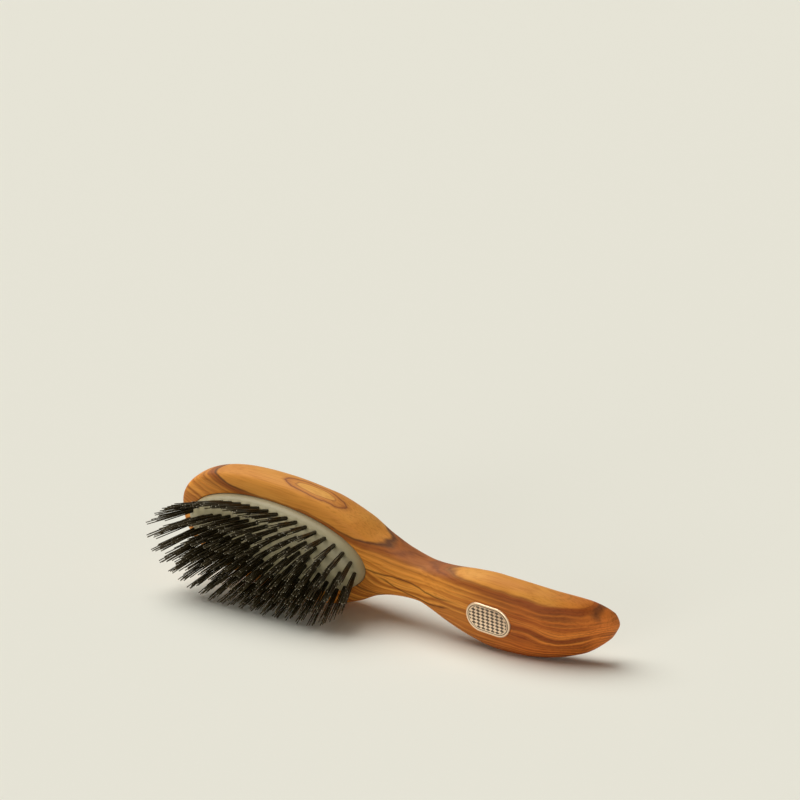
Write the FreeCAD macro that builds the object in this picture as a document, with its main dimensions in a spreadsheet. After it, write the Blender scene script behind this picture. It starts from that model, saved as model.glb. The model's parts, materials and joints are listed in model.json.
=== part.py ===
"""Oval hair brush: an olive wood body with an air cushion of rubber, seven rows of
bristle tufts and a metal badge let into the handle.

The pieces are drawn in the brush's own axes: X runs from the middle of the head
towards the handle, Y across the width, Z out of the face on the bristle side, and the
face of the head is Z = 0. They are then laid on the table on one edge, as a brush is
put down: the handle, the edge of the head and the tips of the lowest tufts touch
Z = 0, X runs along the brush and the bristles face -Y. Lengths are in millimetres.
"""
import FreeCAD, Part
import math
import os

import Sketcher
from FreeCAD import Placement, Rotation, Vector

# Driving sizes, one row each: name, value, what it measures
SIZES = (
    ("head_toe", 53.8, "middle of the cushion to the toe of the head"),
    ("head_width", 54.2, "widest width of the head"),
    ("head_thickness", 22.6, "face to back of the head"),
    ("edge_depth", 6.8, "face to the widest line round the head"),
    ("neck_at", 71.8, "middle of the cushion to the narrowest neck"),
    ("neck_width", 17.0, "width of the neck"),
    ("neck_front", -0.5, "front of the neck above the face"),
    ("neck_back", -15.9, "back of the neck above the face"),
    ("grip_at", 110.5, "middle of the cushion to the widest grip"),
    ("grip_width", 31.8, "width of the grip"),
    ("grip_front", 4.8, "front of the grip above the face"),
    ("grip_back", -11.9, "back of the grip above the face"),
    ("tip_at", 156.2, "middle of the cushion to the tip of the handle"),
    ("tip_width", 4.4, "flat at the tip of the handle"),
    ("tip_front", -15.5, "front of the tip above the face"),
    ("tip_back", -21.0, "back of the tip above the face"),
    ("opening_length", 93.2, "length of the oval opening for the cushion"),
    ("opening_width", 37.8, "width of the oval opening"),
    ("chamber_depth", 11.0, "face to the floor of the air chamber"),
    ("groove_top", 4.2, "face to the top of the groove for the flange"),
    ("groove_height", 2.2, "height of the groove"),
    ("groove_reach", 1.6, "how far the groove runs under the lip"),
    ("rubber_gap", 0.15, "gap between the rubber and the wood"),
    ("rubber_wall", 1.6, "thickness of the rubber"),
    ("shoulder_height", 2.2, "height of the cushion's rounded shoulder"),
    ("shoulder_inset", 0.5, "how far the shoulder draws in there"),
    ("ring_inset", 2.2, "edge of the cushion to the outer ring of tufts"),
    ("ring_1_height", 4.2, "height of the cushion at the outer ring"),
    ("ring_2_height", 6.7, "height of the cushion at the second ring"),
    ("ring_3_height", 8.4, "height of the cushion at the third ring"),
    ("crown_height", 9.2, "height of the cushion along its middle row"),
    ("crown_width", 2.4, "flat along the middle of the cushion"),
    ("tuft_pitch", 5.1, "distance from one tuft to the next along a ring"),
    ("tuft_length", 22.8, "cushion to the tips of the bristles"),
    ("root_radius", 1.0, "radius of a tuft where it is bound"),
    ("root_proud", 1.6, "how far the bound root stands out of the rubber"),
    ("root_tail", 1.0, "how far the root reaches below the rubber"),
    ("hole_gap", 0.15, "gap between a root and its hole in the rubber"),
    ("strand_radius", 0.3, "radius of a strand of bristles at its root"),
    ("strand_tip_radius", 0.3, "radius of a strand at its tip"),
    ("strand_ring", 0.6, "radius of the ring of strands at the root"),
    ("tuft_tip_ring", 1.0, "radius of the ring of strands at the tips"),
    ("fan_along_deg", 16.0, "lean of the tufts at the toe and the heel"),
    ("fan_across_deg", 16.0, "lean of the tufts at the sides"),
    ("pin_length", 3.0, "length of the anchor pin behind a tuft"),
    ("pin_width", 0.7, "width and thickness of the anchor pin"),
    ("pin_shift", 0.55, "how far the pin lies inwards of the middle of its root"),
    ("badge_at", 110.4, "middle of the cushion to the middle of the badge"),
    ("badge_length", 20.6, "length of the plate let into the grip"),
    ("badge_width", 12.9, "width of the plate and of its round ends"),
    ("badge_thickness", 1.4, "thickness of the plate"),
    ("badge_proud", 0.15, "how far the plate stands above the grip"),
    ("badge_chamfer", 0.3, "bevel round the plate"),
    ("badge_gap", 0.1, "gap between the plate and its pocket"),
    ("rest_tilt_deg", 13.0, "how far the brush leans over its bristles on the table"),
    ("overrun", 3.0, "how far a cut runs past the surface it opens"),
)
RING_COUNT = 4
STRANDS_PER_TUFT = 4
STRAND_SIDES = 3
ROOT_SIDES = 4
CUSHION_SIDES = 40
# Half a side, so that no tuft at an end stands on a corner of the cushion's rings
SIDE_SHARE = 0.5

# Powers of the rounded toe: its outline from above, its back and its front edge
TOE_OUTLINE_POWER = 2.41
TOE_BACK_POWER = 3.5
TOE_FRONT_POWER = 8.0
# Where the toe is cut into sections, as shares of the way from the middle to the toe
TOE_SHARES = (0.997, 0.985, 0.955, 0.905, 0.83, 0.73, 0.6, 0.42, 0.2)
# Points of the profile between two main sections: shares of the way along, and of the
# change in half width, front and back
SHOULDER_SHARES = ((0.306, 0.097, 0.0, 0.0), (0.539, 0.403, 0.2, 0.104),
                   (0.692, 0.731, 0.7, 0.358), (0.847, 0.925, 1.0, 0.716))
GRIP_SHARES = ((0.2, 0.16, 0.4, 0.4), (0.429, 0.453, 0.736, 0.7),
               (0.713, 0.81, 0.925, 0.913))
END_SHARES = ((0.24, 0.022, 0.034, 0.055), (0.484, 0.117, 0.143, 0.23),
              (0.776, 0.376, 0.483, 0.648), (0.928, 0.73, 0.803, 0.923))
# Sections from the middle of the head to the neck, to the grip and to the tip
SECTION_COUNTS = (9, 6, 10)
# How the sections crowd towards the tip: 1 is even
SECTION_CROWDING = (1.0, 1.0, 1.6)
# How far down the side of the handle its widest line lies
HANDLE_EDGE_SHARE = 0.48
# How square a section's quarters are: 0.55 is round, 1 is nearly square
HEAD_FRONT_SHARE = 0.97
HANDLE_FRONT_SHARE = 0.75
BACK_SHARE = 0.67
# Straight steps in one quarter of a section
QUARTER_STEPS = 8
# Rounds of finding the places that the brush lies on, and of bending a tuft up
REST_ROUNDS = 30
BEND_ROUNDS = 20

doc = FreeCAD.newDocument("hair_brush")
sheet = doc.addObject("Spreadsheet::Sheet", "sizes")
for row, (name, value, note) in enumerate(SIZES, start=1):
    sheet.set(f"A{row}", note)
    sheet.set(f"B{row}", str(value))
    sheet.setAlias(f"B{row}", name)
doc.recompute()


def size(name):
    """The value of one driving size."""
    return float(sheet.get(name))


def feature(name, shape):
    """An object of the document that holds a shape made here."""
    made = doc.addObject("Part::Feature", name)
    made.Shape = shape
    return made


# Wood body: sections along X, lofted, then cut for the cushion and the badge
def swell(share, power):
    """Height of a rounded end, from 1 at the middle to 0 at the end."""
    return (1 - share ** power) ** (1 / power)


def smooth(table, place):
    """Value at a place on a smooth curve through a table that doesn't overshoot."""
    slopes = [(v2 - v1) / (p2 - p1) for (p1, v1), (p2, v2) in zip(table, table[1:])]
    leans = [0.0]
    for left, right in zip(slopes, slopes[1:]):
        leans.append(2 * left * right / (left + right) if left * right > 0 else 0.0)
    leans.append(slopes[-1])
    for (p1, v1), (p2, v2), lean1, lean2 in zip(table, table[1:], leans, leans[1:]):
        if place <= p2:
            break
    step = p2 - p1
    s = (place - p1) / step
    return (v1 * (1 + 2 * s) * (1 - s) ** 2 + v2 * s * s * (3 - 2 * s)
            + step * lean1 * s * (1 - s) ** 2 - step * lean2 * s * s * (1 - s))


def wood_sections():
    """(x, half width, front, back, share of depth at the widest line, squareness)."""
    edge = size("edge_depth")
    sections = []
    for share in TOE_SHARES:
        front = edge * (swell(share, TOE_FRONT_POWER) - 1)
        back = -edge - (size("head_thickness") - edge) * swell(share, TOE_BACK_POWER)
        half = size("head_width") / 2 * swell(share, TOE_OUTLINE_POWER)
        depth_share = (front + edge) / (front - back)
        x = -size("head_toe") * share
        sections.append((x, half, front, back, depth_share, HEAD_FRONT_SHARE))

    main = [(0.0, size("head_width") / 2, 0.0, -size("head_thickness"),
             edge / size("head_thickness"), HEAD_FRONT_SHARE)]
    for name in ("neck", "grip", "tip"):
        main.append((size(name + "_at"), size(name + "_width") / 2,
                     size(name + "_front"), size(name + "_back"),
                     HANDLE_EDGE_SHARE, HANDLE_FRONT_SHARE))
    points = [main[0]]
    for first, last, shares in zip(main, main[1:], (SHOULDER_SHARES, GRIP_SHARES, END_SHARES)):
        for along, narrowing, front, back in shares:
            steps = (along, narrowing, front, back, narrowing, narrowing)
            points.append([a + (b - a) * s for a, b, s in zip(first, last, steps)])
        points.append(last)
    curves = [[(point[0], point[column]) for point in points] for column in range(1, 6)]
    sections.append(main[0])
    for first, last, count, crowding in zip(main, main[1:], SECTION_COUNTS, SECTION_CROWDING):
        for number in range(1, count + 1):
            share = 1 - (1 - number / count) ** crowding
            x = first[0] + (last[0] - first[0]) * share
            sections.append([x] + [smooth(curve, x) for curve in curves])
    return sections


def quarter(x, start, corner, end, square):
    """Points of one rounded quarter of a section, from start towards end past a corner."""
    poles = [start]
    for near in (start, end):
        poles.append(tuple(n + (c - n) * square for n, c in zip(near, corner)))
    poles.append(end)
    curve = Part.BezierCurve()
    curve.setPoles([Vector(x, y, z) for y, z in poles])
    return [curve.value(step / QUARTER_STEPS) for step in range(QUARTER_STEPS)]


def section_wire(x, half, front, back, depth_share, front_square):
    """A closed section: squarish in front, rounder behind."""
    middle = front + (back - front) * depth_share
    top, left = (0.0, front), (half, middle)
    bottom, right = (0.0, back), (-half, middle)
    points = quarter(x, top, (half, front), left, front_square)
    points += quarter(x, left, (half, back), bottom, BACK_SHARE)
    points += quarter(x, bottom, (-half, back), right, BACK_SHARE)
    points += quarter(x, right, (-half, front), top, front_square)
    return Part.makePolygon(points + points[:1])


def raised(name, outline, bottom, height):
    """An upright block over a flat outline, its heights given as expressions."""
    outline.setExpression("Placement.Base.z", bottom)
    block = doc.addObject("Part::Extrusion", name)
    block.Base = outline
    block.DirMode = "Custom"
    block.Dir = Vector(0, 0, 1)
    block.Solid = True
    block.setExpression("LengthFwd", height)
    return block


def oval_block(name, length, width, bottom, height):
    """An upright oval block, its sizes given as expressions."""
    outline = doc.addObject("Part::Ellipse", name + "_outline")
    outline.setExpression("MajorRadius", f"({length}) / 2")
    outline.setExpression("MinorRadius", f"({width}) / 2")
    return raised(name, outline, bottom, height)


def draw_badge(outline, length, width):
    """Draws two straight sides and two round ends in a sketch, sizes given as expressions."""
    radius = size("badge_width") / 2
    reach = size("badge_length") / 2 - radius
    for side in (-1, 1):
        end = Part.Circle(Vector(side * reach, 0, 0), Vector(0, 0, 1), radius)
        first = -side * math.pi / 2
        outline.addGeometry(Part.ArcOfCircle(end, first, first + math.pi), False)
    for side in (1, -1):
        outline.addGeometry(Part.LineSegment(Vector(side * reach, side * radius, 0),
                                             Vector(-side * reach, side * radius, 0)), False)
    # The ends are items 0 and 1 and the sides 2 and 3; in each, point 1 is its start, 2 its
    # end and 3 its centre. Point 1 of item -1 is the sketch's origin.
    for end, end_point, side, side_point in ((0, 1, 2, 2), (0, 2, 3, 1), (1, 1, 3, 2), (1, 2, 2, 1)):
        outline.addConstraint(Sketcher.Constraint("Tangent", end, end_point, side, side_point))
    outline.addConstraint(Sketcher.Constraint("Equal", 0, 1))
    outline.addConstraint(Sketcher.Constraint("Horizontal", 2))
    outline.addConstraint(Sketcher.Constraint("Symmetric", 0, 3, 1, 3, -1, 1))
    across = outline.addConstraint(Sketcher.Constraint("Diameter", 0, 2 * radius))
    outline.renameConstraint(across, "across_end")
    outline.setExpression("Constraints.across_end", width)
    between = outline.addConstraint(Sketcher.Constraint("DistanceX", 0, 3, 1, 3, 2 * reach))
    outline.renameConstraint(between, "between_ends")
    outline.setExpression("Constraints.between_ends", f"({length}) - ({width})")


def cut(name, base, tool):
    """One object less another."""
    made = doc.addObject("Part::Cut", name)
    made.Base = base
    made.Tool = tool
    made.Refine = False
    return made


wood_blank = doc.addObject("Part::Loft", "wood_blank")
wood_blank.Sections = [feature(f"wood_section_{number}", section_wire(*section))
                       for number, section in enumerate(wood_sections(), start=1)]
wood_blank.Solid = True
wood_blank.Ruled = True
chamber = oval_block("chamber", "sizes.opening_length", "sizes.opening_width",
                     "-sizes.chamber_depth", "sizes.chamber_depth + sizes.overrun")
groove = oval_block("groove", "sizes.opening_length + 2 * sizes.groove_reach",
                    "sizes.opening_width + 2 * sizes.groove_reach",
                    "-sizes.groove_top - sizes.groove_height", "sizes.groove_height")
pocket_outline = doc.addObject("Sketcher::SketchObject", "badge_pocket_outline")
draw_badge(pocket_outline, "sizes.badge_length + 2 * sizes.badge_gap",
           "sizes.badge_width + 2 * sizes.badge_gap")
pocket_outline.setExpression("Placement.Base.x", "sizes.badge_at")
badge_pocket = raised("badge_pocket", pocket_outline,
                      "sizes.grip_front + sizes.badge_proud - sizes.badge_thickness",
                      "sizes.badge_thickness + sizes.overrun")
wood_open = cut("wood_open", wood_blank, chamber)
wood_grooved = cut("wood_grooved", wood_open, groove)
wood_body = cut("wood_body", wood_grooved, badge_pocket)
doc.recompute()


# The table: the head and the handle touch it, and the brush leans over its bristles
def lowest(points, up):
    """The point of a group that lies lowest."""
    return min(points, key=lambda point: point.dot(up))


def table():
    """The way up from the table, and its height along that from the brush's origin."""
    wood = wood_body.Shape.tessellate(size("rubber_gap"))[0]
    head = [point for point in wood if point.x < size("neck_at")]
    handle = [point for point in wood if point.x > size("neck_at")]
    tilt = math.radians(size("rest_tilt_deg"))
    across = up = Vector(0, math.cos(tilt), -math.sin(tilt))
    for _ in range(REST_ROUNDS):
        step = lowest(handle, up) - lowest(head, up)
        pitch = math.atan2(across.dot(step), step.x)
        up = across * math.cos(pitch) - Vector(math.sin(pitch), 0, 0)
    return up, lowest(head, up).dot(up)


table_up, table_height = table()


# Tufts: where they stand on the cushion, ring by ring, and how they lean
def ring_inset(ring):
    """Edge of the cushion to a ring of tufts: they share its half width evenly, 1 outside."""
    inset, middle = size("ring_inset"), size("opening_width") / 2
    return inset + (middle - inset) * (ring - 1) / (RING_COUNT - 1)


def ring_height(ring):
    """Height of the cushion at a ring of tufts; the last one runs along the crown."""
    return size("crown_height") if ring == RING_COUNT else size(f"ring_{ring}_height")


def ring_points(ring):
    """Where a ring's tufts leave the cushion."""
    half_length, half_width = size("opening_length") / 2, size("opening_width") / 2
    inset, height = ring_inset(ring), ring_height(ring)
    if ring == RING_COUNT:
        end = Vector(half_length - inset, 0, height)
        line = Part.makeLine(Vector(-end.x, end.y, end.z), end)
        return line.discretize(Number=round(line.Length / size("tuft_pitch")) + 1)
    line = Part.Ellipse(Vector(0, 0, height), half_length - inset, half_width - inset).toShape()
    return line.discretize(Number=round(line.Length / size("tuft_pitch")) + 1)[:-1]


def tuft_place(point, ahead, lean_x, lean_y):
    """Placement of a tuft: Z along it, X along its ring."""
    return Placement(point, Rotation(ahead, Vector(), Vector(lean_x, lean_y, 1), "ZXY"))


def tuft_places(ring, tips):
    """Placements of a ring's tufts, which fan out and are bent up where the table is."""
    fan_x = math.tan(math.radians(size("fan_along_deg"))) / (size("opening_length") / 2)
    fan_y = math.tan(math.radians(size("fan_across_deg"))) / (size("opening_width") / 2)
    points = ring_points(ring)
    places = []
    for before, point, after in zip(points[-1:] + points, points, points[1:] + points[:1]):
        free, bent = fan_y * point.y, 0.0
        place = tuft_place(point, after - before, fan_x * point.x, free)
        if min(place.multVec(tip).dot(table_up) for tip in tips) < table_height:
            for _ in range(BEND_ROUNDS):
                lean = (free + bent) / 2
                place = tuft_place(point, after - before, fan_x * point.x, lean)
                if min(place.multVec(tip).dot(table_up) for tip in tips) < table_height:
                    free = lean
                else:
                    bent = lean
            place = tuft_place(point, after - before, fan_x * point.x, bent)
        places.append(place)
    return places


def regular(sides, radius, height, centre=(0.0, 0.0), turn=0.0):
    """Corners of a level regular polygon."""
    angles = [turn + 2 * math.pi * side / sides for side in range(sides)]
    return [Vector(centre[0] + radius * math.cos(angle), centre[1] + radius * math.sin(angle), height)
            for angle in angles]


def flat(*corners):
    """A flat face with the given corners."""
    return Part.Face(Part.makePolygon(list(corners) + [corners[0]]))


def closed(faces):
    """The solid that faces close in."""
    solid = Part.makeSolid(Part.Shell(faces))
    if solid.Volume < 0:
        solid.reverse()
    return solid


def prism(lower, upper):
    """A solid between two like polygons."""
    sides = zip(lower, lower[1:] + lower[:1], upper[1:] + upper[:1], upper)
    return closed([flat(*lower), flat(*upper)] + [flat(*corners) for corners in sides])


def tuft():
    """A bound root with strands that spread from it, Z = 0 at the cushion."""
    tail = -size("rubber_wall") - size("root_tail")
    root = prism(regular(ROOT_SIDES, size("root_radius"), tail),
                 regular(ROOT_SIDES, size("root_radius"), size("root_proud")))
    strands = []
    for number in range(STRANDS_PER_TUFT):
        turn = 2 * math.pi * number / STRANDS_PER_TUFT
        ends = []
        for radius, height, ring in (
                (size("strand_radius"), 0.0, size("strand_ring")),
                (size("strand_tip_radius"), size("tuft_length"), size("tuft_tip_ring"))):
            centre = (ring * math.cos(turn), ring * math.sin(turn))
            ends.append(regular(STRAND_SIDES, radius, height, centre, turn))
        strands.append(prism(*ends))
    return root.fuse(strands)


def root_hole():
    """The hole in the rubber for one root."""
    radius = size("root_radius") + size("hole_gap") / math.cos(math.pi / ROOT_SIDES)
    reach = size("rubber_wall") + size("overrun")
    return prism(regular(ROOT_SIDES, radius, -reach), regular(ROOT_SIDES, radius, size("overrun")))


def anchor_pin():
    """The bar that holds a tuft from behind the rubber, against the end of its root."""
    length, width = size("pin_length"), size("pin_width")
    top = -size("rubber_wall") - size("root_tail")
    corner = Vector(-length / 2, size("pin_shift") - width / 2, top - width)
    return Part.makeBox(length, width, width, corner)


def copies(shape, places):
    """A compound of one shape at many places."""
    made = []
    for place in places:
        copy = shape.copy()
        copy.Placement = place
        made.append(copy)
    return Part.makeCompound(made)


rings = range(1, RING_COUNT + 1)
one_tuft = tuft()
ring_places = [tuft_places(ring, [corner.Point for corner in one_tuft.Vertexes]) for ring in rings]
tufts = [feature(f"bristle_tufts_ring_{ring}", copies(one_tuft, places))
         for ring, places in zip(rings, ring_places)]
pins = [feature(f"anchor_pins_ring_{ring}", copies(anchor_pin(), places))
        for ring, places in zip(rings, ring_places)]


# Rubber cushion: a domed membrane with a flange, drawn as rings from a profile
def cushion_profile():
    """(inset from the edge of the opening, height), from the skirt's foot to the crown."""
    gap = size("rubber_gap")
    profile = [(gap, -size("groove_top") - size("groove_height")), (gap, 0.0),
               (gap + size("shoulder_inset"), size("shoulder_height"))]
    profile += [(ring_inset(ring), ring_height(ring)) for ring in rings[:-1]]
    profile.append(((size("opening_width") - size("crown_width")) / 2, size("crown_height")))
    return profile


def moved_in(profile, distance):
    """A profile moved towards the inside of the cushion; its last step is level."""
    steps = []
    for (d1, z1), (d2, z2) in zip(profile, profile[1:]):
        length = math.hypot(d2 - d1, z2 - z1)
        steps.append(((z2 - z1) / length, (d1 - d2) / length))
    moved = []
    for (d, z), before, after in zip(profile, steps[:1] + steps, steps + [(0.0, -1.0)]):
        reach = distance / (1 + before[0] * after[0] + before[1] * after[1])
        moved.append((d + reach * (before[0] + after[0]), z + reach * (before[1] + after[1])))
    return moved


def cushion_ring(inset, height):
    """Points round the cushion at an inset from the edge of the opening."""
    half_length, half_width = size("opening_length") / 2 - inset, size("opening_width") / 2 - inset
    turns = [2 * math.pi * (side + SIDE_SHARE) / CUSHION_SIDES for side in range(CUSHION_SIDES)]
    return [Vector(half_length * math.cos(turn), half_width * math.sin(turn), height) for turn in turns]


def cushion_solid():
    """The cushion before its holes are cut."""
    outer = cushion_profile()
    inner = moved_in(outer, size("rubber_wall"))
    foot = outer[0][1]
    flange_edge = size("rubber_gap") - size("groove_reach")
    flange_top = -size("groove_top") - size("rubber_gap")
    flange = [(flange_edge, foot), (flange_edge, flange_top), (size("rubber_gap"), flange_top)]
    loops = [cushion_ring(*point) for point in inner[::-1] + flange + outer[1:]]
    faces = [flat(*loops[0]), flat(*loops[-1])]
    for lower, upper in zip(loops, loops[1:]):
        for a, b, c, d in zip(lower, lower[1:] + lower[:1], upper[1:] + upper[:1], upper):
            faces += [flat(a, b, c), flat(a, c, d)]
    return closed(faces)


cushion_blank = feature("cushion_blank", cushion_solid())
root_holes = feature("root_holes", copies(root_hole(), sum(ring_places, [])))
rubber_cushion = cut("rubber_cushion", cushion_blank, root_holes)

# Badge plate: a stamped plate with round ends and a bevelled rim
badge_plate = doc.addObject("PartDesign::Body", "badge_plate")
outline = badge_plate.newObject("Sketcher::SketchObject", "badge_outline")
base_plane = next(f for f in badge_plate.Origin.OriginFeatures if f.Role == "XY_Plane")
outline.AttachmentSupport = [(base_plane, "")]
outline.MapMode = "FlatFace"
draw_badge(outline, "sizes.badge_length", "sizes.badge_width")
plate = badge_plate.newObject("PartDesign::Pad", "badge_pad")
plate.Profile = outline
plate.setExpression("Length", "sizes.badge_thickness")
doc.recompute()
top_edges = [f"Edge{number}" for number, edge in enumerate(plate.Shape.Edges, start=1)
             if edge.BoundBox.ZMin > size("badge_thickness") / 2]
bevel = badge_plate.newObject("PartDesign::Chamfer", "badge_bevel")
bevel.Base = (plate, top_edges)
bevel.setExpression("Size", "sizes.badge_chamfer")
badge_at = Placement(Vector(size("badge_at"), 0, size("grip_front") + size("badge_proud")
                            - size("badge_thickness")), Rotation())
doc.recompute()

# Laying the brush on the table, with the middle of its outline at the origin
nodes = [wood_body, rubber_cushion, badge_plate] + tufts + pins
own_places = {badge_plate.Name: badge_at}
turn = Placement(Vector(), Rotation(Vector(1, 0, 0), Vector(), table_up, "ZXY").inverted())
corners = []
for node in (wood_body, *tufts):
    corners += [turn.multVec(point) for point in node.Shape.tessellate(size("rubber_gap"))[0]]
middle_x = (min(p.x for p in corners) + max(p.x for p in corners)) / 2
middle_y = (min(p.y for p in corners) + max(p.y for p in corners)) / 2
rest = Placement(Vector(-middle_x, -middle_y, -table_height), turn.Rotation)
for node in nodes:
    node.Placement = rest * own_places.get(node.Name, Placement())

# Every object and every shape is checked before anything is written
failed = [o.Label for o in doc.Objects if {"Invalid", "Error"} & set(o.State)]
failed += [n.Label for n in nodes if n.Shape.isNull() or not n.Shape.isValid()]
if failed:
    raise RuntimeError("not built: " + ", ".join(failed))
os.makedirs("parts", exist_ok=True)
for node in nodes:
    node.Shape.exportStep(f"parts/{node.Label}.step")
    print(node.Label, len(node.Shape.Solids), "solids", round(node.Shape.Volume, 1), "mm3")
print("press axis", rest.Rotation.multVec(Vector(0, 0, -1)))
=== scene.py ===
import bpy
import bmesh
import json
import math
import random
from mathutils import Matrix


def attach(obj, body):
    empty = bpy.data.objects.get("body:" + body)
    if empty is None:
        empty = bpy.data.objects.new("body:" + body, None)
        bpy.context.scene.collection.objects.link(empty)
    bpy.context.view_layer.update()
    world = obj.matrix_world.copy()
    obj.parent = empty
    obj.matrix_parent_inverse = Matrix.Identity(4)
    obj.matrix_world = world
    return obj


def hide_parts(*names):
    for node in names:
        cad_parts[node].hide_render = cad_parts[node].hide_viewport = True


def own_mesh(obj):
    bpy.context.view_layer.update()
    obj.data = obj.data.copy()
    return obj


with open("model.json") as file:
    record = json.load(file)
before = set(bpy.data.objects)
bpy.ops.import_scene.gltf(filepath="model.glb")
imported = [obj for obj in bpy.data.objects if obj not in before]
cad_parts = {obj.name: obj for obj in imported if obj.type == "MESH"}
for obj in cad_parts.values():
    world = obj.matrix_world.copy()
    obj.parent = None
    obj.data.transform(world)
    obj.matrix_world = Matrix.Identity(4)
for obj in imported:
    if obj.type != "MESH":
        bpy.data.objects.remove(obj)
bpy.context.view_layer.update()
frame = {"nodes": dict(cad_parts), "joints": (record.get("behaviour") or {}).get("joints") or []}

from types import SimpleNamespace
from mathutils import Matrix, Vector
from mathutils.geometry import interpolate_bezier

# Wood body
# Head and handle are one piece of olive wood, carved and sanded round all over, then
# oiled. An oval chamber is cut into the face for the cushion, its lip slightly rounded.
MM = 0.001
# Sizes in mm, along, across and out of the brush from the middle of the opening
CROWN_HEIGHT = 9.2
HEAD_TOE, HEAD_HALF_WIDTH, HEAD_BACK, EDGE_DEPTH = 53.8, 27.1, -22.6, 6.8
# How square the toe is in its face, its back and its outline, where 2 is an ellipse
FACE_POWER, BACK_POWER, OUTLINE_POWER = 8.0, 3.5, 2.41
# Rows from the middle of the head to the tip: place, then the columns half width, front and back
HALF_WIDTH, FRONT, BACK = 1, 2, 3
BODY_ROWS = (
    (0.0, 27.1, 0.0, -22.6), (21.97, 25.3, 0.0, -22.6), (38.7, 19.6, -0.1, -21.9),
    (49.7, 13.5, -0.35, -20.2), (60.8, 10.2, -0.6, -17.8), (71.8, 8.8, -0.1, -15.9),
    (79.5, 9.9, 1.4, -14.3), (88.4, 11.9, 3.3, -13.1), (99.4, 14.49, 4.4, -12.25),
    (110.5, 15.9, 4.8, -11.9), (121.5, 15.6, 4.11, -12.4), (132.6, 14.3, 1.9, -14.0),
    (146.0, 11.3, -5.0, -17.8), (152.9, 6.7, -11.5, -20.3), (156.2, 2.4, -15.5, -21.0),
)
NECK_AT, TIP_AT = 71.8, BODY_ROWS[-1][0]
# The last of the tip closes in a quarter round, down to a small share of its size
TIP_ROUNDING, TIP_SHARE = 2.6, 0.02
# How far a section's curves reach into its corners, where 0.55 is an ellipse
HEAD_SQUARE, HANDLE_SQUARE, BACK_SQUARE = 0.97, 0.75, 0.67
# Depth of the handle's widest line, as a share of its thickness
HANDLE_EDGE_SHARE = 0.48
OPENING_LENGTH, OPENING_WIDTH, CHAMBER_DEPTH = 93.2, 37.8, 11.0
# The lip's rounding, and the small step that it leaves below the face
LIP_ROUND, LIP_BELOW = 0.7, 0.1
BADGE_AT, BADGE_LENGTH, BADGE_WIDTH = 110.4, 20.6, 12.9
BADGE_TOP, BADGE_THICKNESS, BADGE_GAP = 4.95, 1.4, 0.1
# How far a cutter stands out of the wood
CUT_PAST = 3.0
# Rings of points on the toe, the run of the body and the tip, and points to a quarter of a ring
TOE_RINGS, RUN_RINGS, TIP_RINGS, QUARTER_POINTS = 30, 104, 10, 20
# The first ring stands just short of the toe, where a ring would have no size
FIRST_RING_SHARE = 0.9999
LIP_STEPS, CHAMBER_POINTS, BADGE_POINTS = 6, 128, 96
# Points of a skin this near to each other are one
MERGE_WITHIN = 0.05
# Edges sharper than this many degrees stay sharp
WOOD_CREASE = 50


def brush_axes():
    """Matrix from the brush's own axes to the table's, read from the frame."""
    press = next(joint for joint in frame["joints"] if joint["name"] == "cushion_press")
    out = -Vector(press["axis"]).normalized()
    along = Vector((-out.z, 0, out.x)).normalized()
    axes = Matrix((along, out.cross(along), out))
    points = [axes @ vert.co for vert in frame["nodes"]["rubber_cushion"].data.vertices]
    low, high = (Vector(pick(column) for column in zip(*points)) for pick in (min, max))
    middle = (low + high) / 2
    middle.z = high.z - CROWN_HEIGHT * MM
    matrix = axes.transposed().to_4x4()
    matrix.translation = axes.transposed() @ middle
    return matrix


BRUSH = brush_axes()
TO_BRUSH = BRUSH.inverted()
WAY_OUT = Vector(BRUSH.to_3x3().col[2])


def smooth(column, place):
    """Value at a place on a smooth curve through one column of the rows."""
    table = [(row[0], row[column]) for row in BODY_ROWS]
    slopes = [(v2 - v1) / (p2 - p1) for (p1, v1), (p2, v2) in zip(table, table[1:])]
    leans = [0.0]
    for left, right in zip(slopes, slopes[1:]):
        leans.append(2 * left * right / (left + right) if left * right > 0 else 0.0)
    leans.append(slopes[-1])
    for (p1, v1), (p2, v2), lean1, lean2 in zip(table, table[1:], leans, leans[1:]):
        if place <= p2:
            break
    step = p2 - p1
    s = (place - p1) / step
    return (v1 * (1 + 2 * s) * (1 - s) ** 2 + v2 * s * s * (3 - 2 * s)
            + step * lean1 * s * (1 - s) ** 2 - step * lean2 * s * s * (1 - s))


def swell(share, power):
    """Height of a rounded end, from 1 at the middle to 0 at the end."""
    return (1 - share ** power) ** (1 / power)


def body_section(x):
    """(half width, front, back, widest line, squareness in front) at a place along the brush."""
    if x < 0:
        share = -x / HEAD_TOE
        front = EDGE_DEPTH * (swell(share, FACE_POWER) - 1)
        back = -EDGE_DEPTH + (HEAD_BACK + EDGE_DEPTH) * swell(share, BACK_POWER)
        return HEAD_HALF_WIDTH * swell(share, OUTLINE_POWER), front, back, -EDGE_DEPTH, HEAD_SQUARE
    half, front, back = (smooth(column, x) for column in (HALF_WIDTH, FRONT, BACK))
    # From the head to the neck the section turns from the head's into the handle's
    blend = 1.0
    if x <= NECK_AT:
        blend = (HEAD_HALF_WIDTH - half) / (HEAD_HALF_WIDTH - smooth(HALF_WIDTH, NECK_AT))
    share = EDGE_DEPTH / -HEAD_BACK * (1 - blend) + HANDLE_EDGE_SHARE * blend
    square = HEAD_SQUARE * (1 - blend) + HANDLE_SQUARE * blend
    if x > TIP_AT - TIP_ROUNDING:
        close = math.sqrt(max(0.0, 1 - ((x - TIP_AT) / TIP_ROUNDING + 1) ** 2)) + TIP_SHARE
        centre = (front + back) / 2
        half *= close
        front, back = (centre + (side - centre) * close for side in (front, back))
    return half, front, back, front + (back - front) * share, square


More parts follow.
